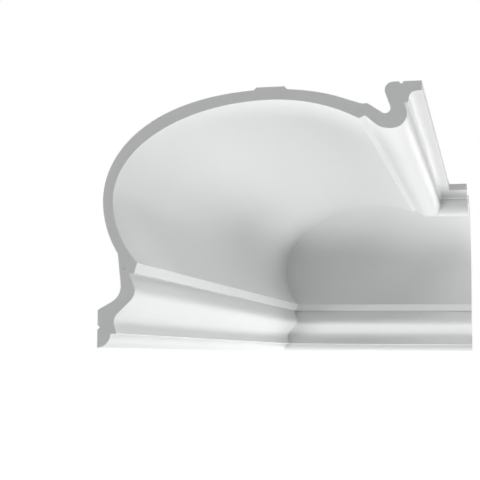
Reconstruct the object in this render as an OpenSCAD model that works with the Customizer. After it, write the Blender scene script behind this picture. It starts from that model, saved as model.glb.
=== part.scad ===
// Hollow cove cornice, two lengths mitred in the inside corner of a room.
//
// Both lengths have one section: a foot bead, an ogee and a fillet on the wall,
// a wide cove, and a second fillet, a nosing, a hollow and a lip on the ceiling.
// The back is hollow, so a length touches the room at a wall seat, a ceiling
// seat and a pad on its crown.
//
// Origin: the foot of the room's corner, where both wall seats meet.
// The long run goes towards -Y along the wall x = 0, the short run towards +X
// along the wall y = 0, and the ceiling is at z = drop. Millimetres.

/* [Runs] */
// Length of the long run along its lip, from the mitre to the square cut
long_lip_l = 743; // [100:1:1800]
// Length of the short run along its lip, from the mitre to the square cut
short_lip_l = 28; // [10:1:1800]

/* [Section] */
// Height on the wall
drop = 280; // [230:1:340]
// Width on the ceiling
projection = 351; // [290:1:425]
// Wall of the shell at the springing and at the crown of the cove
shell = 11.5; // [7:0.5:16]
// How much thicker the shell is on its haunches
haunch_extra = 2.5; // [0:0.5:5]
// Gap between the wall and the back of the shell
wall_gap = 3.5; // [1:0.5:8]
// Gap between the ceiling and the back of the shell
ceiling_gap = 2.6; // [1:0.2:6]

/* [Cove] */
// Height of the springing, where the cove is nearest to the wall
springing_up = 162; // [130:1:185]
// Distance of the crown, where the cove is highest, from the wall
crown_out = 189; // [150:1:205]

/* [Foot bead, ogee and lower fillet] */
// Radius of the foot bead
foot_bead_r = 15; // [10:0.5:20]
// How far the lower arris of the ogee stands off the wall
ogee_foot_out = 22; // [18:0.5:26]
// Height of the ogee
ogee_h = 65.5; // [52:0.5:80]
// How far the top of the ogee stands off the wall
ogee_top_out = 35; // [30:0.5:38]
// Corner that the hollow of the ogee is rounded from, out and up from its lower arris
ogee_hollow_at = [-5.2, 16.2]; // [-10:0.1:60]
// Radius of the hollow of the ogee
ogee_hollow_r = 13; // [8:0.5:16]
// Corner that the nose of the ogee is rounded from, out and up from its lower arris
ogee_nose_at = [22.3, 43]; // [-10:0.1:60]
// Radius of the nose of the ogee
ogee_nose_r = 14.5; // [8:0.5:18]
// Height of the lower fillet
lower_fillet_h = 11.6; // [6:0.2:16]
// Depth of the ledge under the lower fillet
lower_fillet_ledge = 5.8; // [3:0.2:8]
// How far the lower fillet leans into the room
lower_fillet_lean = 3; // [0:0.2:5]

/* [Upper fillet, nosing, hollow and lip] */
// Width of the upper fillet
upper_fillet_w = 6.4; // [4:0.2:9]
// Rise of the upper fillet towards the ceiling
upper_fillet_rise = 3.2; // [1:0.2:5]
// Width of the nosing, from the upper fillet to the ledge beside the hollow
nosing_w = 41; // [36:0.5:48]
// How much nearer to the ceiling the nosing ends than it starts
nosing_rise = 11.3; // [8:0.1:14]
// Corner that the cove side of the nosing is rounded from, out and up from its start
nosing_cove_at = [19, -16.7]; // [-25:0.1:25]
// Radius of the nosing on the cove side
nosing_cove_r = 25.5; // [15:0.5:28]
// Corner that the room side of the nosing is rounded from, out and up from its end
nosing_room_at = [8.4, -22.2]; // [-25:0.1:25]
// Radius of the nosing on the room side
nosing_room_r = 15; // [10:0.5:18]
// Width of the ledge between the nosing and the hollow
nosing_ledge_w = 4.5; // [2:0.1:7]
// Rise of that ledge towards the ceiling
nosing_ledge_rise = 1.2; // [0:0.1:3]
// Height of the hollow under the lip
lip_hollow_h = 11.6; // [9:0.1:15]
// How far the side of the hollow leans into the room
lip_hollow_lean = 0.6; // [0:0.1:2]
// Radius of the hollow under the lip
lip_hollow_r = 8.5; // [5:0.5:10]
// Height of the lip
lip_h = 10.6; // [7:0.2:13]
// Depth of the ledge under the lip
lip_ledge = 13.5; // [11:0.5:16]

/* [Back] */
// How much thicker than the shell the wall is behind the ogee and the nosing
pocket_extra = 5.8; // [2:0.2:8]
// Radius of the pocket behind the nosing
nosing_pocket_r = 5.5; // [3:0.5:7]
// How much thicker than the shell the neck is, above the start of the nosing
neck_extra = 1.6; // [0:0.2:4]

/* [Seats and glue grooves] */
// Height of the wall seat, before its top edge is rounded
wall_seat_h = 41; // [35:0.5:45]
// Width of the ceiling seat, before its back edge is rounded
ceiling_seat_w = 42.4; // [38:0.2:46]
// Width of the pad on the crown, at the ceiling
pad_w = 30.5; // [20:0.5:40]
// Distance of the middle of the pad from the wall
pad_out = 190; // [170:1:210]
// Width of a glue groove
groove_w = 5.2; // [3:0.2:7]
// Depth of a glue groove
groove_d = 2.8; // [1.5:0.1:4]
// Height of the wall groove
wall_groove_up = 22; // [15:0.5:28]
// Distance of the ceiling groove from the lip
ceiling_groove_in = 21.2; // [14:0.2:26]

/* [Hidden] */
white_primer = "white";

// Smoothness: degrees to a step on a round, and steps to a quarter of the cove
round_step = 6;
cove_steps = 32;
// A cutter reaches this far past what it cuts
past = 5;

// Arrises on the room side, from the wall to the ceiling
ogee_foot = [ogee_foot_out, foot_bead_r];
ogee_top = [ogee_top_out, foot_bead_r + ogee_h];
lower_fillet_foot = ogee_top + [lower_fillet_ledge, 0];
cove_foot = lower_fillet_foot + [lower_fillet_lean, lower_fillet_h];
lip_foot = [projection, drop - lip_h];
hollow_corner = lip_foot - [lip_ledge, 0];
hollow_foot = hollow_corner - [lip_hollow_lean, lip_hollow_h];
nosing_end = hollow_foot - [nosing_ledge_w, nosing_ledge_rise];
nosing_start = nosing_end - [nosing_w, nosing_rise];
cove_end = nosing_start - [upper_fillet_w, upper_fillet_rise];

// Corners on the room side that the ogee and the nosing are rounded from
ogee_hollow = ogee_foot + ogee_hollow_at;
ogee_nose = ogee_foot + ogee_nose_at;
nosing_cove = nosing_start + nosing_cove_at;
nosing_room = nosing_end + nosing_room_at;

// Corners on the back: the pockets behind the ogee and the nosing, and the neck between
// the cove and the nosing, which has a shallow dip on the cove side
pocket_wall = shell + pocket_extra;
ogee_pocket = ogee_nose - [pocket_wall, 2];
nosing_pocket = nosing_room + [-pocket_wall, 4];
neck = nosing_start + [2.2, shell + neck_extra];
neck_dip = neck - [4.6, 0.8];
ogee_pocket_r = ogee_nose_r + 5;
neck_r = 3;
neck_dip_r = 10;

// Rounds on the back edges of the two seats
wall_seat_r = 2;
ceiling_seat_r = 8.7;

// The cove: quarter ellipses round one centre, with axes that meet its two arrises
cove_centre = [crown_out, springing_up];
cove_half_w = crown_out - wall_gap - shell;
cove_rise = drop - ceiling_gap - shell - springing_up;
function other_axis(along, axis, across) = across / sqrt(1 - pow(along / axis, 2));
cove_fall = other_axis(crown_out - cove_foot[0], cove_half_w, springing_up - cove_foot[1]);
cove_reach = other_axis(cove_end[1] - springing_up, cove_rise, cove_end[0] - crown_out);
angle_foot = -atan2((springing_up - cove_foot[1]) / cove_fall, (crown_out - cove_foot[0]) / cove_half_w);
angle_end = atan2((cove_end[1] - springing_up) / cove_rise, (cove_end[0] - crown_out) / cove_reach);
// Share of the cove's two end stretches that its back follows, before it turns to a pocket
back_share = 0.75;

// A point on an ellipse with half axes a and b, pushed out square to it by t
function ellipse_point(a, b, angle, t) =
    let (square = [b * cos(angle), a * sin(angle)])
    [a * cos(angle), b * sin(angle)] + t * square / norm(square);

// A point of the cove, t behind its face. side is -1 towards the wall, 1 towards the room
function cove_point(side, angle, t) =
    let (a = side < 0 ? cove_half_w : cove_reach)
    let (b = angle < 0 ? cove_fall : cove_rise)
    let (p = ellipse_point(a, b, angle, t))
    cove_centre + [side * p[0], p[1]];

// Thickness of the shell, which swells between the springing and the crown
function wall_at(angle) = angle < 0 ? shell : shell + haunch_extra * pow(sin(2 * angle), 2);

// The cove from its lower to its upper arris. behind is 0 for its face, 1 for its back
function cove_line(behind, first, last) =
    let (low = [for (i = [0 : cove_steps - 1]) first * (1 - i / cove_steps)])
    let (rise = [for (i = [0 : cove_steps]) 90 * i / cove_steps])
    let (over = [for (i = [1 : cove_steps]) 90 + (last - 90) * i / cove_steps])
    concat(
        [for (angle = low) cove_point(-1, angle, behind * wall_at(angle))],
        [for (angle = rise) cove_point(-1, angle, behind * wall_at(angle))],
        [for (angle = over) cove_point(1, angle, behind * wall_at(angle))]);

// A corner between before and after, rounded to radius r, or to what its sides leave room for
function rounded(before, corner, after, r) =
    let (u = (before - corner) / norm(before - corner))
    let (v = (after - corner) / norm(after - corner))
    let (half = acos(u * v) / 2)
    let (room = 0.9 * min(norm(before - corner), norm(after - corner)))
    let (r_fit = min(r, room * tan(half)))
    let (centre = corner + (u + v) / norm(u + v) * r_fit / sin(half))
    let (from = corner + u * r_fit / tan(half) - centre)
    let (to = corner + v * r_fit / tan(half) - centre)
    let (turn = (180 - 2 * half) * sign(from[0] * to[1] - from[1] * to[0]))
    let (steps = ceil(abs(turn) / round_step))
    [for (i = [0 : steps])
        let (a = turn * i / steps)
        centre + [from[0] * cos(a) - from[1] * sin(a), from[0] * sin(a) + from[1] * cos(a)]];

// The outline, in order: up the room side from the wall to the ceiling, back along the hollow side
face_line = concat(
    [for (a = [-90 : round_step : 0]) [0, foot_bead_r] + foot_bead_r * [cos(a), sin(a)]],
    [ogee_foot],
    rounded(ogee_foot, ogee_hollow, ogee_nose, ogee_hollow_r),
    rounded(ogee_hollow, ogee_nose, ogee_top, ogee_nose_r),
    [ogee_top, lower_fillet_foot],
    cove_line(0, angle_foot, angle_end),
    [nosing_start],
    rounded(nosing_start, nosing_cove, nosing_room, nosing_cove_r),
    rounded(nosing_cove, nosing_room, nosing_end, nosing_room_r),
    [nosing_end, hollow_foot],
    rounded(hollow_foot, hollow_corner, lip_foot, lip_hollow_r),
    [lip_foot, [projection, drop]]);

cove_back = cove_line(1, back_share * angle_foot, 90 + back_share * (angle_end - 90));
back_first = cove_back[0];
back_last = cove_back[len(cove_back) - 1];
ceiling_seat_back = [projection - ceiling_seat_w, drop];
wall_seat_top = [0, wall_seat_h];
back_line_up = concat(
    rounded([0, 0], wall_seat_top, ogee_pocket, wall_seat_r),
    rounded(wall_seat_top, ogee_pocket, back_first, ogee_pocket_r),
    cove_back,
    rounded(back_last, neck_dip, neck, neck_dip_r),
    rounded(neck_dip, neck, nosing_pocket, neck_r),
    rounded(neck, nosing_pocket, ceiling_seat_back, nosing_pocket_r),
    rounded(nosing_pocket, ceiling_seat_back, [projection, drop], ceiling_seat_r));
back_line = [for (i = [len(back_line_up) - 1 : -1 : 0]) back_line_up[i]];

// V-shaped groove in a seat, cut towards -Y
module glue_groove() {
    polygon([
        [-groove_w / 2 - past, past],
        [-groove_w / 2, 0],
        [0, -groove_d],
        [groove_w / 2, 0],
        [groove_w / 2 + past, past]]);
}

// Pad on the crown: 45 degree sides, rooted in the middle of the shell
module crown_pad() {
    root = ceiling_gap + shell / 2;
    translate([pad_out, drop])
        polygon([
            [-pad_w / 2, 0],
            [-pad_w / 2 - root, -root],
            [pad_w / 2 + root, -root],
            [pad_w / 2, 0]]);
}

// Section of the moulding: X out from the wall, Y up from its foot
module section() {
    difference() {
        union() {
            polygon(concat(face_line, back_line));
            crown_pad();
        }
        translate([0, wall_groove_up]) rotate(90) glue_groove();
        translate([projection - ceiling_groove_in, drop]) glue_groove();
    }
}

// Everything past the mitre, which leaves the corner at 45 degrees to both walls
module past_mitre() {
    translate([0, 0, -past])
        linear_extrude(height = drop + 2 * past)
            polygon([
                [-past, past],
                [projection + past, -projection - past],
                [projection + past, past]]);
}

// One length against the wall x = 0, from the mitre in the corner to its square cut
module run(lip_l) {
    difference() {
        rotate([90, 0, 0]) linear_extrude(height = projection + lip_l) section();
        past_mitre();
    }
}

module long_run() {
    color(white_primer) run(long_lip_l);
}

// The short run is the same length of moulding, mirrored in the mitre
module short_run() {
    color(white_primer) mirror([1, 1, 0]) run(short_lip_l);
}

long_run();
short_run();
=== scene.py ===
"""An inside corner of hollow cove cornice: two lengths of one moulding, mitred where the walls meet.
Metres, +Z up, with the origin at the foot of the room's corner."""
import math

import bmesh
import bpy
from mathutils import Matrix, Vector


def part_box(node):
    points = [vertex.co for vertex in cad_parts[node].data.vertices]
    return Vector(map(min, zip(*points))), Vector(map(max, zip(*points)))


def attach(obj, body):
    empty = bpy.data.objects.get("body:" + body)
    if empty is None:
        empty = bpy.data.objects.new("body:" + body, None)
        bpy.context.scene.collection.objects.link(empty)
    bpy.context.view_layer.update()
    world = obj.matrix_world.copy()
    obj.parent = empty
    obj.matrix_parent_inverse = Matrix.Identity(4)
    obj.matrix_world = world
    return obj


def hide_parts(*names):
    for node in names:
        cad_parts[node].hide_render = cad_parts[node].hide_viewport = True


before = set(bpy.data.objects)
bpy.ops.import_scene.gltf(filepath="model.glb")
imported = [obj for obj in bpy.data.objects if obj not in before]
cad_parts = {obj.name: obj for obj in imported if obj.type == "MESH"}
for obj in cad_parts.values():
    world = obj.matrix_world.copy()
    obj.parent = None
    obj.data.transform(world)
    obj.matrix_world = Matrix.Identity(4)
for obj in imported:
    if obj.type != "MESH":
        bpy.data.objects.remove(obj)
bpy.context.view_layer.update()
scene = bpy.context.scene


# ---- Where the corner is seen from -----------------------------------------------------------
# The long length lies on the left wall and comes towards the viewer, the short one crosses the
# back wall. The viewer stands to the right of the long length's square cut, level with the foot
# of the moulding, and looks a little up and to the left, along the cove into the corner.
long_low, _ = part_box("long_run")
_, short_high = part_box("short_run")
square_cut_y = long_low.y

viewer_from_cut = Vector((0.4215, -1.1838, -0.0050))
viewer_turn = math.radians(12.547)
viewer_tilt = math.radians(5.662)
viewer_roll = math.radians(0.455)

viewer_lens = bpy.data.cameras.new("viewer")
viewer_lens.sensor_width = 36.0
viewer_lens.lens = 85.8
viewer_lens.clip_start = 0.05
viewer_lens.clip_end = 100.0
viewer = bpy.data.objects.new("viewer", viewer_lens)
scene.collection.objects.link(viewer)
viewer.matrix_world = (
    Matrix.Translation(viewer_from_cut + Vector((0, square_cut_y, 0)))
    @ Matrix.Rotation(viewer_turn, 4, "Z")
    @ Matrix.Rotation(math.radians(90) + viewer_tilt, 4, "X")
    @ Matrix.Rotation(viewer_roll, 4, "Z")
)
scene.camera = viewer


# ---- The section of the mould ----------------------------------------------------------------
# Both lengths are cast in rigid foam in the same long mould, so one outline serves both: a thin
# shell that swings out from the wall seat, round the cove and down into the nosing and the lip.
# The mould's arrises are never knife sharp. Each is rounded by well under a millimetre.
mm = 0.001
arris_turn = math.radians(18)  # a corner that turns by more than this is an arris
flat_guard = 1.6 * mm  # how near its arrises a flat gets a point of its own
mist_reach = 12 * mm  # how far the primer mist runs on to the back
skin_depth = 1.2 * mm  # the dense skin that casting leaves on the foam
sharpest_mitre = 0.3  # keeps the corners of a line that is set in from running away


def square_cut_outline(node, y):
    """The node's outline at its square cut, anticlockwise from the foot of the wall seat, as
    (out from the wall, up) points: first the room side up to the lip, then the back."""
    solid = bmesh.new()
    solid.from_mesh(node.data)
    bmesh.ops.remove_doubles(solid, verts=solid.verts, dist=0.001 * mm)
    cut = {face for face in solid.faces if all(abs(v.co.y - y) < 0.01 * mm for v in face.verts)}
    neighbours = {}
    for edge in {edge for face in cut for edge in face.edges}:
        if sum(face in cut for face in edge.link_faces) == 1:
            for here, there in (edge.verts, reversed(edge.verts)):
                neighbours.setdefault(here, []).append(there)
    foot = min(neighbours, key=lambda v: v.co.x + v.co.z)
    line, here, last = [], foot, None
    while not line or here is not foot:
        line.append(Vector((here.co.x, here.co.z)))
        here, last = next(v for v in neighbours[here] if v is not last), here
    solid.free()
    doubled_area = sum(a.x * b.y - b.x * a.y for a, b in zip(line, line[1:] + line[:1]))
    return line if doubled_area > 0 else line[:1] + line[:0:-1]


def is_arris(line, i):
    """Whether the closed line turns sharply at point i."""
    return (line[i] - line[i - 1]).angle(line[(i + 1) % len(line)] - line[i]) > arris_turn


def guarded(line):
    """The line as (point, is an arris) rows, with a point on each flat close to its arrises, so
    that the flat stays flat when the arris is shaded round, and one where the primer mist ends."""
    lip = max(range(len(line)), key=lambda i: line[i].x + line[i].y)
    rows = []
    for i, point in enumerate(line):
        after = (i + 1) % len(line)
        ahead = line[after] - point
        stops = []
        if ahead.length > 3 * flat_guard:  # shorter stretches belong to a rounded part
            stops += [flat_guard] if is_arris(line, i) else []
            stops += [mist_reach] if i == lip else []
            stops += [ahead.length - mist_reach] if after == 0 else []
            stops += [ahead.length - flat_guard] if is_arris(line, after) else []
        rows.append((point, is_arris(line, i)))
        rows += [(point + ahead.normalized() * stop, False) for stop in stops]
    return rows


def bareness(points):
    """How bare of primer each point is: 0 on the room side and, past the lip and the foot, rising
    to 1 where the mist of the spray gun runs out on the back."""
    lip = max(range(len(points)), key=lambda i: points[i].x + points[i].y)
    steps = [(b - a).length for a, b in zip(points, points[1:] + points[:1])]
    past_lip = [max(0.0, sum(steps[lip:i])) for i in range(len(points))]
    before_foot = [sum(steps[i:]) for i in range(len(points))]
    return [min(1.0, past / mist_reach, rest / mist_reach) for past, rest in zip(past_lip, before_foot)]


def set_in(line, depth):
    """The closed anticlockwise line moved inwards by that depth, with mitred corners."""
    moved = []
    for i, point in enumerate(line):
        before = (point - line[i - 1]).normalized()
        after = (line[(i + 1) % len(line)] - point).normalized()
        inward = Vector((-before.y - after.y, before.x + after.x)).normalized()
        square_on = inward.dot(Vector((-before.y, before.x)))
        moved.append(point + inward * depth / max(sharpest_mitre, square_on))
    return moved


mould_line = square_cut_outline(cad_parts["long_run"], square_cut_y)
face_rows = guarded(mould_line)
face_points = [point for point, _ in face_rows]
core_line = set_in(mould_line, skin_depth)
face_count, core_count = len(face_points), len(core_line)

section = bpy.data.meshes.new("section")
section.from_pydata(
    [(p.x, p.y, 0) for p in face_points + core_line],
    [(i, (i + 1) % face_count) for i in range(face_count)]
    + [(face_count + i, face_count + (i + 1) % core_count) for i in range(core_count)],
    [],
)
for name, values in (
    ("arris", [float(sharp) for _, sharp in face_rows] + [0.0] * core_count),
    ("bare", bareness(face_points) + [1.0] * core_count),
    ("inside", [0.0] * face_count + [1.0] * core_count),
):
    section.attributes.new(name, "FLOAT", "POINT").data.foreach_set("value", values)


# ---- The cast foam and its primer ------------------------------------------------------------
# The lengths are cast in light grey rigid foam. The room side is sprayed in the works with a
# matt white primer, ready for wall paint. The back keeps its cast skin, faintly clouded where
# the foam has flowed, with a mist of primer along its edges. It is pitted by small air bells,
# which are dented in the relief and darkened inside with painted shade.
def add_node(tree, kind, place, values=None, **properties):
    """A new node in the tree, with its properties and the values of its named inputs set."""
    node = tree.nodes.new(kind)
    node.location = place
    for name, value in properties.items():
        setattr(node, name, value)
    for name, value in (values or {}).items():
        node.inputs[name].default_value = value
    return node


def add_math(tree, place, operation, *terms):
    """The result of a Math node on the terms, each a socket or a number."""
    node = add_node(tree, "ShaderNodeMath", place, operation=operation)
    for socket, term in zip(node.inputs, terms):
        if isinstance(term, (int, float)):
            socket.default_value = term
        else:
            tree.links.new(term, socket)
    return node.outputs[0]


def add_blend(tree, place, factor, first, second):
    """A colour that goes from first to second with the factor. Each is a socket or an RGB."""
    node = add_node(tree, "ShaderNodeMix", place, data_type="RGBA", clamp_factor=True)
    by_kind = [socket for socket in node.inputs if socket.type == "RGBA"]
    tree.links.new(factor, node.inputs["Factor"])
    for socket, colour in zip(by_kind, (first, second)):
        if isinstance(colour, tuple):
            socket.default_value = (*colour, 1)
        else:
            tree.links.new(colour, socket)
    return next(socket for socket in node.outputs if socket.type == "RGBA")


def add_range(tree, place, value, low, high, to_low=0.0, to_high=1.0):
    """A smooth step of the value, from to_low at low to to_high at high."""
    node = add_node(
        tree, "ShaderNodeMapRange", place, interpolation_type="SMOOTHSTEP",
        values={"From Min": low, "From Max": high, "To Min": to_low, "To Max": to_high})
    tree.links.new(value, node.inputs["Value"])
    return node.outputs["Result"]


def make_foam_texture():
    """Shared by every foam surface: fine grain, slow clouds and round pits, in object space.
    Scales are in cells to the metre. Pit share is how many of the cells hold a pit."""
    tree = bpy.data.node_groups.new("Foam texture", "ShaderNodeTree")
    for label, value in (
        ("Grain scale", 400.0), ("Cloud scale", 8.0), ("Cloud swirl", 0.5),
        ("Pit scale", 100.0), ("Pit share", 0.1),
    ):
        made = tree.interface.new_socket(name=label, in_out="INPUT", socket_type="NodeSocketFloat")
        made.default_value = value
    for label in ("Grain", "Clouds", "Pits"):
        tree.interface.new_socket(name=label, in_out="OUTPUT", socket_type="NodeSocketFloat")
    link = tree.links.new
    given = add_node(tree, "NodeGroupInput", (-900, 0))
    result = add_node(tree, "NodeGroupOutput", (700, 0))
    place = add_node(tree, "ShaderNodeTexCoord", (-900, 300)).outputs["Object"]
    grain = add_node(tree, "ShaderNodeTexNoise", (-500, 400), {"Detail": 2.0, "Roughness": 0.55})
    clouds = add_node(tree, "ShaderNodeTexNoise", (-500, 100), {"Detail": 4.0, "Roughness": 0.6})
    cells = add_node(tree, "ShaderNodeTexVoronoi", (-500, -200), {"Randomness": 1.0}, feature="F1")
    chance = add_node(tree, "ShaderNodeSeparateColor", (-250, -350))
    for node, label in ((grain, "Grain scale"), (clouds, "Cloud scale"), (cells, "Pit scale")):
        link(place, node.inputs["Vector"])
        link(given.outputs[label], node.inputs["Scale"])
    link(given.outputs["Cloud swirl"], clouds.inputs["Distortion"])
    link(cells.outputs["Color"], chance.inputs["Color"])
    chosen = add_math(tree, (0, -350), "LESS_THAN", chance.outputs["Red"], given.outputs["Pit share"])
    round_pit = add_range(tree, (0, -150), cells.outputs["Distance"], 0.10, 0.32, 1.0, 0.0)
    link(grain.outputs[0], result.inputs["Grain"])
    link(clouds.outputs[0], result.inputs["Clouds"])
    link(add_math(tree, (300, -200), "MULTIPLY", chosen, round_pit), result.inputs["Pits"])
    return tree


foam_texture = make_foam_texture()


def start_finish(name, specular):
    """A material with a Principled shader for a dull finish. Returns it, its tree and shader."""
    material = bpy.data.materials.new(name)
    material.use_nodes = True
    tree = material.node_tree
    tree.nodes.clear()
    shader = add_node(tree, "ShaderNodeBsdfPrincipled", (900, 0), {"Specular IOR Level": specular})
    output = add_node(tree, "ShaderNodeOutputMaterial", (1200, 0))
    tree.links.new(shader.outputs["BSDF"], output.inputs["Surface"])
    return material, tree, shader


def finish_surface(tree, shader, colour, roughness, height):
    """Gives the shader its colour, its roughness and a relief whose height is in metres."""
    relief = add_node(tree, "ShaderNodeBump", (650, -300), {"Strength": 1.0, "Distance": 1.0})
    tree.links.new(height, relief.inputs["Height"])
    tree.links.new(colour, shader.inputs["Base Color"])
    tree.links.new(roughness, shader.inputs["Roughness"])
    tree.links.new(relief.outputs["Normal"], shader.inputs["Normal"])


def make_primed_casting():
    """White primer where the attribute bare is 0, the foam's own cast skin where it is 1."""
    primer_low, primer_high = (0.773, 0.779, 0.781), (0.789, 0.795, 0.797)
    skin_low, skin_high = (0.695, 0.692, 0.672), (0.745, 0.743, 0.726)
    # the pits' darker colour is painted shade inside the air bells, laid over their dents in the relief
    pit_shade_colour = (0.540, 0.535, 0.515)
    material, tree, shader = start_finish("primed casting", specular=0.3)
    spray = add_node(tree, "ShaderNodeGroup", (-900, 300), node_tree=foam_texture, values={
        "Grain scale": 260.0, "Cloud scale": 5.0, "Cloud swirl": 0.3,
        "Pit scale": 140.0, "Pit share": 0.0})
    skin = add_node(tree, "ShaderNodeGroup", (-900, -200), node_tree=foam_texture, values={
        "Grain scale": 90.0, "Cloud scale": 15.0, "Cloud swirl": 0.7,
        "Pit scale": 75.0, "Pit share": 0.05})
    bare = add_node(tree, "ShaderNodeAttribute", (-900, 600), attribute_name="bare").outputs["Fac"]

    # the mist thins out in specks: the grain, centred on 0, is added to how bare the place is
    speckle = add_math(tree, (-600, 500), "MULTIPLY_ADD", spray.outputs["Grain"], 0.9, -0.45)
    thinned = add_math(tree, (-400, 600), "ADD", bare, speckle)
    unprimed = add_math(tree, (-100, 600), "MULTIPLY",
                       add_range(tree, (-250, 700), thinned, 0.15, 0.85),
                       add_range(tree, (-250, 500), bare, 0.0, 0.12))
    pits = add_math(tree, (-400, -300), "MULTIPLY", skin.outputs["Pits"], unprimed)

    primer_colour = add_blend(tree, (0, 300), spray.outputs["Clouds"], primer_low, primer_high)
    clouded = add_range(tree, (-250, 0), skin.outputs["Clouds"], 0.25, 0.75)
    skin_colour = add_blend(tree, (0, 50), clouded, skin_low, skin_high)
    # painted shade: the skin colour darkens towards pit_shade_colour inside each pit
    skin_with_pit_shade = add_blend(tree, (200, 0), pits, skin_colour, pit_shade_colour)
    colour = add_blend(tree, (400, 200), unprimed, primer_colour, skin_with_pit_shade)

    roughness = add_range(tree, (400, -50), spray.outputs["Clouds"], 0.3, 0.7, 0.50, 0.60)
    spray_relief = add_math(tree, (-100, -300), "MULTIPLY", spray.outputs["Grain"], 0.010 * mm)
    flow_depth = add_math(tree, (-100, -500), "MULTIPLY", unprimed, 0.18 * mm)
    flow_relief = add_math(tree, (100, -450), "MULTIPLY", skin.outputs["Clouds"], flow_depth)
    pit_relief = add_math(tree, (100, -600), "MULTIPLY", pits, -0.4 * mm)
    skin_relief = add_math(tree, (300, -500), "ADD", flow_relief, pit_relief)
    height = add_math(tree, (450, -350), "ADD", spray_relief, skin_relief)
    finish_surface(tree, shader, colour, roughness, height)
    return material


primed_casting = make_primed_casting()


# ---- The sawn foam ---------------------------------------------------------------------------
# A mitre saw leaves the inside of the foam open: a fine pale grey cell structure with a few
# larger voids, the faint arcs of the blade, and a denser, paler skin round the rim. The open cells
# and voids are darkened with painted shade, laid over shallow dents in the relief.
def make_sawn_foam():
    """The cut foam. The attribute core is 0 on the rim of the cut and 1 inside the skin."""
    foam_low, foam_high = (0.704, 0.716, 0.715), (0.744, 0.756, 0.755)
    rim_colour = (0.780, 0.786, 0.782)
    # the darker colour in the open cells and voids is painted shade inside the holes
    hole_shade_colour = (0.520, 0.530, 0.525)
    blade_pitch = 3.4 * mm
    material, tree, shader = start_finish("sawn foam", specular=0.15)
    cells = add_node(tree, "ShaderNodeGroup", (-900, 300), node_tree=foam_texture, values={
        "Grain scale": 900.0, "Cloud scale": 26.0, "Cloud swirl": 0.6,
        "Pit scale": 620.0, "Pit share": 0.5})
    voids = add_node(tree, "ShaderNodeGroup", (-900, 0), node_tree=foam_texture, values={
        "Grain scale": 300.0, "Cloud scale": 60.0, "Cloud swirl": 0.0,
        "Pit scale": 170.0, "Pit share": 0.035})
    core = add_node(tree, "ShaderNodeAttribute", (-900, 600), attribute_name="core").outputs["Fac"]
    place = add_node(tree, "ShaderNodeTexCoord", (-1200, -300)).outputs["Object"]
    feed = add_node(tree, "ShaderNodeMapping", (-1000, -300), vector_type="POINT")
    feed.inputs["Rotation"].default_value = (0, math.radians(38), math.radians(45))
    blade = add_node(
        tree, "ShaderNodeTexWave", (-800, -300), wave_type="BANDS", bands_direction="X", values={
            "Scale": 2 * math.pi / (20 * blade_pitch), "Distortion": 1.2, "Detail": 1.0,
            "Detail Scale": 6.0})
    tree.links.new(place, feed.inputs["Vector"])
    tree.links.new(feed.outputs[0], blade.inputs["Vector"])

    inside = add_range(tree, (-600, 600), core, 0.25, 0.95)
    open_cells = add_math(tree, (-600, 250), "MULTIPLY", cells.outputs["Pits"], 0.35)
    open_voids = add_math(tree, (-600, 50), "MULTIPLY", voids.outputs["Pits"], 0.8)
    holes = add_math(tree, (-400, 150), "MULTIPLY",
                    add_math(tree, (-500, 100), "MAXIMUM", open_cells, open_voids), inside)
    foam_colour = add_blend(tree, (-100, 300), cells.outputs["Clouds"], foam_low, foam_high)
    rimmed_colour = add_blend(tree, (100, 300), inside, rim_colour, foam_colour)
    # painted shade: the foam darkens towards hole_shade_colour inside the cells and voids
    colour = add_blend(tree, (300, 300), holes, rimmed_colour, hole_shade_colour)
    roughness = add_range(tree, (300, 0), cells.outputs["Grain"], 0.2, 0.8, 0.80, 0.92)
    blade_relief = add_math(tree, (-300, -300), "MULTIPLY", blade.outputs["Fac"], 0.012 * mm)
    hole_relief = add_math(tree, (-300, -500), "MULTIPLY", holes, -0.12 * mm)
    height = add_math(tree, (0, -400), "ADD", blade_relief, hole_relief)
    finish_surface(tree, shader, colour, roughness, height)
    return material


sawn_foam = make_sawn_foam()


# ---- One length of moulding ------------------------------------------------------------------
# A length is the mould's section drawn out along its wall. One end is sawn at 45 degrees for the
# inside corner and the other square. The length on the other wall is the same with its hand
# changed, the mirror image in the mitre.
arris_radius = 0.7 * mm
arris_steps = 4  # the points round each arris
ring_spacing = 0.05
fewest_rings = 4
same_point = 0.002 * mm  # points closer than this are merged
core_find = 5 * same_point  # a point this near the inner line is on it
sawn_turn = math.radians(38)  # an edge that turns by more than this stays sharp


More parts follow.
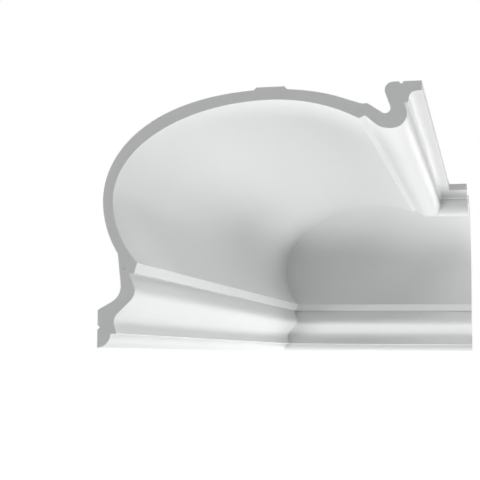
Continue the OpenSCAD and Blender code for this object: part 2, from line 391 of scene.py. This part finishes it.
def make_length_tree():
    """Section (closed outlines in XY) in, one length of moulding out."""
    tree = bpy.data.node_groups.new("Length of moulding", "GeometryNodeTree")
    tree.is_modifier = True
    for label, kind in (
        ("Section", "Geometry"), ("Length", "Float"), ("Arris radius", "Float"),
        ("Arris steps", "Int"), ("Rings", "Int"), ("Other hand", "Bool"),
        ("Casting", "Material"), ("Sawn face", "Material"),
    ):
        tree.interface.new_socket(name=label, in_out="INPUT", socket_type="NodeSocket" + kind)
    tree.interface.new_socket(name="Moulding", in_out="OUTPUT", socket_type="NodeSocketGeometry")
    link = tree.links.new
    given = add_node(tree, "NodeGroupInput", (-2000, 0))
    result = add_node(tree, "NodeGroupOutput", (3000, 0))

    def named(attribute, place, kind="FLOAT"):
        """The attribute of that name on the mesh or curve."""
        node = add_node(
            tree, "GeometryNodeInputNamedAttribute", place, {"Name": attribute}, data_type=kind)
        return node.outputs["Attribute"]

    def vector(place, **parts):
        """A vector of the sockets given as X, Y and Z, with 0 for the rest."""
        node = add_node(tree, "ShaderNodeCombineXYZ", place)
        for axis, part in parts.items():
            link(part, node.inputs[axis])
        return node.outputs[0]

    def moved(geometry, place, **change):
        """The geometry with its points at the Position, or moved by the Offset."""
        node = add_node(tree, "GeometryNodeSetPosition", place)
        link(geometry, node.inputs["Geometry"])
        for name, value in change.items():
            link(value, node.inputs[name])
        return node.outputs["Geometry"]

    # the mould's outline with its arrises rounded, and the line where the dense skin ends
    inside = named("inside", (-1900, 500))
    on_face = add_math(tree, (-1700, 500), "SUBTRACT", 1.0, inside)
    outlines = []
    for chosen, height in ((on_face, 300), (inside, 700)):
        as_curve = add_node(tree, "GeometryNodeMeshToCurve", (-1500, height))
        link(given.outputs["Section"], as_curve.inputs["Mesh"])
        link(chosen, as_curve.inputs["Selection"])
        outlines.append(as_curve.outputs["Curve"])
    arris = named("arris", (-1700, 100))
    radius = add_math(tree, (-1500, 100), "MULTIPLY", arris, given.outputs["Arris radius"])
    soften = add_node(
        tree, "GeometryNodeFilletCurve", (-1250, 300), {"Limit Radius": True}, mode="POLY")
    link(outlines[0], soften.inputs["Curve"])
    link(radius, soften.inputs["Radius"])
    link(given.outputs["Arris steps"], soften.inputs["Count"])
    face_line, inner_line = soften.outputs["Curve"], outlines[1]

    # the path, from the corner to the square cut, marked with how far along it each ring is
    cut_at = vector((-1500, -200), Z=given.outputs["Length"])
    path = add_node(tree, "GeometryNodeCurvePrimitiveLine", (-1250, -200))
    rings = add_node(tree, "GeometryNodeResampleCurve", (-1000, -200))
    marked = add_node(tree, "GeometryNodeStoreNamedAttribute", (-750, -200), {"Name": "along"})
    link(cut_at, path.inputs["End"])
    link(path.outputs["Curve"], rings.inputs["Curve"])
    link(given.outputs["Rings"], rings.inputs["Count"])
    link(rings.outputs["Curve"], marked.inputs["Geometry"])
    how_far = add_node(tree, "GeometryNodeSplineParameter", (-1000, -400)).outputs["Factor"]
    link(how_far, marked.inputs["Value"])

    # the drawn faces. A point that stands out x from the wall meets the mitre at x along it
    drawn = add_node(tree, "GeometryNodeCurveToMesh", (-500, 200))
    link(marked.outputs["Geometry"], drawn.inputs["Curve"])
    link(face_line, drawn.inputs["Profile Curve"])
    at = add_node(tree, "ShaderNodeSeparateXYZ", (-550, -600))
    link(add_node(tree, "GeometryNodeInputPosition", (-750, -600)).outputs[0], at.inputs[0])
    reach = add_node(tree, "ShaderNodeMix", (-300, -600), data_type="FLOAT")
    link(named("along", (-550, -800)), reach.inputs["Factor"])
    link(at.outputs["X"], reach.inputs["A"])
    link(given.outputs["Length"], reach.inputs["B"])
    sheared = vector((-100, -600), X=at.outputs["X"], Y=at.outputs["Y"], Z=reach.outputs["Result"])
    sides = moved(drawn.outputs["Mesh"], (100, 200), Position=sheared)

    # the sawn face, in two parts that meet where the skin ends, marked by how deep each point is
    filled = add_node(tree, "GeometryNodeJoinGeometry", (-400, 800))
    both_lines = add_node(tree, "GeometryNodeJoinGeometry", (-900, 800))
    for outline in (face_line, inner_line):
        link(outline, both_lines.inputs["Geometry"])
    for outline, height in ((both_lines.outputs["Geometry"], 900), (inner_line, 700)):
        fill = add_node(tree, "GeometryNodeFillCurve", (-650, height), mode="TRIANGLES")
        link(outline, fill.inputs["Curve"])
        link(fill.outputs["Mesh"], filled.inputs["Geometry"])
    inner_points = add_node(tree, "GeometryNodeCurveToPoints", (-650, 1100), mode="EVALUATED")
    nearest = add_node(tree, "GeometryNodeProximity", (-450, 1100), target_element="POINTS")
    link(inner_line, inner_points.inputs["Curve"])
    link(inner_points.outputs["Points"], nearest.inputs[0])
    is_core = add_math(
        tree, (-250, 1100), "LESS_THAN", nearest.outputs["Distance"], core_find)
    cored = add_node(tree, "GeometryNodeStoreNamedAttribute", (-150, 800), {"Name": "core"})
    link(filled.outputs["Geometry"], cored.inputs["Geometry"])
    link(is_core, cored.inputs["Value"])
    sawn = add_node(
        tree, "GeometryNodeStoreNamedAttribute", (0, 800), {"Name": "sawn", "Value": True},
        data_type="BOOLEAN", domain="FACE")
    link(cored.outputs["Geometry"], sawn.inputs["Geometry"])
    mitre = add_node(tree, "GeometryNodeFlipFaces", (400, 600))
    in_mitre = vector((0, 500), Z=at.outputs["X"])
    link(moved(sawn.outputs["Geometry"], (200, 600), Offset=in_mitre), mitre.inputs["Mesh"])
    square_cut = moved(sawn.outputs["Geometry"], (200, 900), Offset=cut_at)

    whole = add_node(tree, "GeometryNodeJoinGeometry", (600, 300))
    for geometry in (sides, mitre.outputs["Mesh"], square_cut):
        link(geometry, whole.inputs["Geometry"])
    closed = add_node(tree, "GeometryNodeMergeByDistance", (800, 300), {"Distance": same_point})
    link(whole.outputs["Geometry"], closed.inputs["Geometry"])

    # stood up in the room. The other hand is a mirror image, so its faces are turned back round
    run_y = add_math(tree, (700, -200), "MULTIPLY", at.outputs["Z"], -1.0)
    run_x = add_math(tree, (700, -400), "MULTIPLY", at.outputs["X"], -1.0)
    hand = add_node(tree, "GeometryNodeSwitch", (1100, -300), input_type="VECTOR")
    link(given.outputs["Other hand"], hand.inputs["Switch"])
    link(vector((900, -200), X=at.outputs["X"], Y=run_y, Z=at.outputs["Y"]), hand.inputs["False"])
    link(vector((900, -400), X=at.outputs["Z"], Y=run_x, Z=at.outputs["Y"]), hand.inputs["True"])
    outward = add_node(tree, "GeometryNodeFlipFaces", (1500, 300))
    stood_up = moved(closed.outputs["Geometry"], (1300, 300), Position=hand.outputs[0])
    link(stood_up, outward.inputs["Mesh"])
    link(given.outputs["Other hand"], outward.inputs["Selection"])

    # round where the mould is round, sharp where the saw has been
    bend = add_node(tree, "GeometryNodeInputMeshEdgeAngle", (1500, 0))
    gentle = add_math(tree, (1700, 0), "LESS_THAN", bend.outputs["Unsigned Angle"], sawn_turn)
    round_faces = add_node(tree, "GeometryNodeSetShadeSmooth", (1700, 300), {"Shade Smooth": True})
    round_edges = add_node(tree, "GeometryNodeSetShadeSmooth", (1900, 300), domain="EDGE")
    link(outward.outputs["Mesh"], round_faces.inputs["Geometry"])
    link(round_faces.outputs["Geometry"], round_edges.inputs["Geometry"])
    link(gentle, round_edges.inputs["Shade Smooth"])

    real = add_node(tree, "GeometryNodeRealizeInstances", (2100, 300))
    cast = add_node(tree, "GeometryNodeSetMaterial", (2300, 300))
    cut = add_node(tree, "GeometryNodeSetMaterial", (2600, 300))
    link(round_edges.outputs["Geometry"], real.inputs["Geometry"])
    link(real.outputs["Geometry"], cast.inputs["Geometry"])
    link(given.outputs["Casting"], cast.inputs["Material"])
    link(cast.outputs["Geometry"], cut.inputs["Geometry"])
    link(named("sawn", (2300, 0), "BOOLEAN"), cut.inputs["Selection"])
    link(given.outputs["Sawn face"], cut.inputs["Material"])
    link(cut.outputs["Geometry"], result.inputs["Moulding"])
    return tree


length_tree = make_length_tree()
length_inputs = {
    item.name: item.identifier
    for item in length_tree.interface.items_tree if item.in_out == "INPUT"
}


def cut_length(name, length, other_hand):
    """One length of moulding as a plain mesh object at the origin."""
    blank = bpy.data.objects.new(name, section.copy())
    scene.collection.objects.link(blank)
    drawing = blank.modifiers.new("drawn out", "NODES")
    drawing.node_group = length_tree
    for label, value in (
        ("Length", length), ("Arris radius", arris_radius), ("Arris steps", arris_steps),
        ("Rings", max(fewest_rings, round(length / ring_spacing))), ("Other hand", other_hand),
        ("Casting", primed_casting), ("Sawn face", sawn_foam),
    ):
        drawing[length_inputs[label]] = value
    drawn = blank.evaluated_get(bpy.context.evaluated_depsgraph_get())
    mesh = bpy.data.meshes.new_from_object(drawn)
    mesh.name = name
    mesh.materials.pop(index=0)  # Set Material leaves an empty slot in front of its own
    blank.modifiers.remove(drawing)
    blank.data = mesh
    return blank


# ---- The long length -------------------------------------------------------------------------
# About 1.1 m of moulding on the left wall, from the corner to a square cut that shows the
# section. It is glued to the wall at its foot and to the ceiling at its lip.
long_length = cut_length("long_length", -long_low.y, other_hand=False)
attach(long_length, "root")
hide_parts("long_run")


# ---- The short length ------------------------------------------------------------------------
# The other side of the corner: a short offcut on the back wall, mitred to the long length and
# cut square just past the lip.
short_length = cut_length("short_length", short_high.x, other_hand=True)
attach(short_length, "root")
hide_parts("short_run")


# ---- The studio ------------------------------------------------------------------------------
# A plain pale floor lies a room's height below the moulding, and everything past it is white.
# Soft light comes up from the floor and in from both sides, as it does on a cornice in a room,
# and lamps above, in front and behind, light the square cut and the back.
floor_drop = 2.2
floor_half = 30.0
floor_mesh = bpy.data.meshes.new("floor")
floor_mesh.from_pydata(
    [(x * floor_half, y * floor_half, -floor_drop) for x, y in ((-1, -1), (1, -1), (1, 1), (-1, 1))],
    [],
    [(0, 1, 2, 3)],
)
floor = bpy.data.objects.new("floor", floor_mesh)
scene.collection.objects.link(floor)
floor.visible_shadow = False  # it takes shadows, but doesn't stop the light from below


def add_seen(tree, place):
    """1 for what the viewer sees of the backdrop, straight or through a reflection."""
    path = add_node(tree, "ShaderNodeLightPath", place)
    across, up = place
    straight_or_glossy = add_math(
        tree, (across + 200, up), "MAXIMUM",
        path.outputs["Is Camera Ray"], path.outputs["Is Glossy Ray"])
    return add_math(
        tree, (across + 400, up), "MAXIMUM",
        straight_or_glossy, path.outputs["Is Transmission Ray"])


def make_floor_paint():
    """Pale matt floor paint, shown nearly white, that still takes a little of the shadow."""
    paint_colour = (0.60, 0.60, 0.60, 1)
    shown_white = 0.6
    white_strength = 1.35
    material = bpy.data.materials.new("floor paint")
    material.use_nodes = True
    tree = material.node_tree
    tree.nodes.clear()
    paint = add_node(tree, "ShaderNodeBsdfDiffuse", (0, 100), {"Color": paint_colour})
    glow = add_node(tree, "ShaderNodeEmission", (0, -100), {"Strength": white_strength})
    mix = add_node(tree, "ShaderNodeMixShader", (300, 0))
    output = add_node(tree, "ShaderNodeOutputMaterial", (600, 0))
    share = add_math(tree, (0, 300), "MULTIPLY", add_seen(tree, (-600, 300)), shown_white)
    tree.links.new(share, mix.inputs["Fac"])
    tree.links.new(paint.outputs[0], mix.inputs[1])
    tree.links.new(glow.outputs[0], mix.inputs[2])
    tree.links.new(mix.outputs[0], output.inputs["Surface"])
    return material


floor_mesh.materials.append(make_floor_paint())

fill_strength = 0.12
scene.world = bpy.data.worlds.new("studio")
scene.world.use_nodes = True
sky = scene.world.node_tree
sky.nodes.clear()
white = (1, 1, 1, 1)
fill = add_node(
    sky, "ShaderNodeBackground", (0, 100), {"Color": white, "Strength": fill_strength})
backdrop = add_node(sky, "ShaderNodeBackground", (0, -100), {"Color": white, "Strength": 1.0})
sky_mix = add_node(sky, "ShaderNodeMixShader", (300, 0))
sky_output = add_node(sky, "ShaderNodeOutputWorld", (600, 0))
sky.links.new(add_seen(sky, (-600, 300)), sky_mix.inputs["Fac"])
sky.links.new(fill.outputs[0], sky_mix.inputs[1])
sky.links.new(backdrop.outputs[0], sky_mix.inputs[2])
sky.links.new(sky_mix.outputs[0], sky_output.inputs["Surface"])


def towards(bearing, height):
    """The direction to a lamp: its bearing in degrees round from the front towards the right,
    and its height in degrees above the level."""
    turn = Matrix.Rotation(math.radians(bearing), 3, "Z")
    return turn @ Vector((0, -math.cos(math.radians(height)), math.sin(math.radians(height))))


def place_lamp(name, lamp, direction, location=(0, 0, 0)):
    """Puts the lamp at the location, shining from that direction, out of the viewer's sight."""
    holder = bpy.data.objects.new(name, lamp)
    holder.location = location
    holder.rotation_mode = "QUATERNION"
    holder.rotation_quaternion = direction.to_track_quat("Z", "Y")
    holder.visible_camera = False
    scene.collection.objects.link(holder)


# broad lamps far off: name, bearing, height, width in degrees, and how far each lights a surface
# that faces it, where 1 shows a colour as it is
for name, bearing, height, width, level in (
    ("floor_glow", 0, -90, 30, 0.265),
    ("room_right", 150, -10, 20, 0.16),
    ("far_right", 165, -10, 30, 0.30),
    ("window_right", 120, 20, 30, 0.175),
    ("room_left", -75, -35, 30, 0.46),
    ("front_fill", 20, 40, 30, 0.23),
    ("back_fill", 215, 50, 30, 0.65),
):
    broad = bpy.data.lights.new(name, "SUN")
    broad.angle = math.radians(width)
    broad.energy = math.pi * level
    place_lamp(name, broad, towards(bearing, height))

# one softbox below the corner, near enough to fade along the long length
softbox_side = 0.5
softbox_at = Vector((0.3, 0.2, -0.5))
softbox_aim = Vector((0.1, -0.55, 0.08))
softbox_level = 0.20
softbox = bpy.data.lights.new("softbox", "AREA")
softbox.shape = "SQUARE"
softbox.size = softbox_side
softbox.energy = math.pi ** 2 * (softbox_at - softbox_aim).length_squared * softbox_level
place_lamp("softbox", softbox, softbox_at - softbox_aim, softbox_at)

scene.view_settings.view_transform = "Standard"
